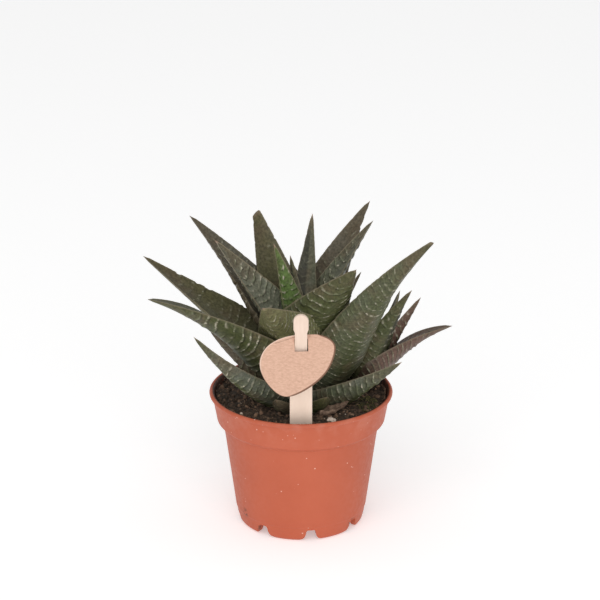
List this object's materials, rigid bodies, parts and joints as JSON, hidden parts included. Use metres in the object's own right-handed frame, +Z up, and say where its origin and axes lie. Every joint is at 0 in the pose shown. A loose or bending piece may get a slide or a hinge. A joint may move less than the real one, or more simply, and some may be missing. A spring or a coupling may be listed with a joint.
{
  "type": "potted haworthia",
  "caption": "Rosette of keeled leaves with pale cross ridges and a small side rosette, in soil in a tapered nursery pot with arched foot notches, with a wooden stick label and a bare board.",
  "frame": {"origin": "middle of the pot's foot, on the surface that the pot stands on", "axes": "+Z up along the pot's axis, the label and the front face -Y, +X to the right seen from the front"},
  "size_m": [0.1451, 0.1037, 0.1492],
  "materials": {
    "leaf": "satin",
    "stem": "matte",
    "dead_leaf": "matte",
    "pot": "satin",
    "soil": "matte",
    "stick": "matte",
    "board": "matte"
  },
  "bodies": {
    "root": {"pot": "pot", "soil": "soil", "stem": "stem", "side_stem": "stem", "leaf_01": "leaf", "leaf_02": "leaf", "leaf_03": "leaf", "leaf_04": "leaf", "leaf_05": "leaf", "leaf_06": "leaf", "leaf_07": "leaf", "leaf_08": "leaf", "leaf_09": "leaf", "leaf_10": "leaf", "leaf_11": "leaf", "leaf_12": "leaf", "leaf_13": "leaf", "leaf_14": "leaf", "leaf_15": "leaf", "leaf_16": "leaf", "leaf_17": "leaf", "leaf_18": "leaf", "leaf_19": "leaf", "leaf_20": "leaf", "leaf_21": "leaf", "leaf_22": "leaf", "leaf_23": "leaf", "leaf_24": "leaf", "leaf_25": "leaf", "side_leaf_1": "leaf", "side_leaf_2": "leaf", "side_leaf_3": "leaf", "side_leaf_4": "leaf", "dead_leaf": "dead_leaf", "label_stick": "stick", "label_board": "board"}
  },
  "joints": []
}
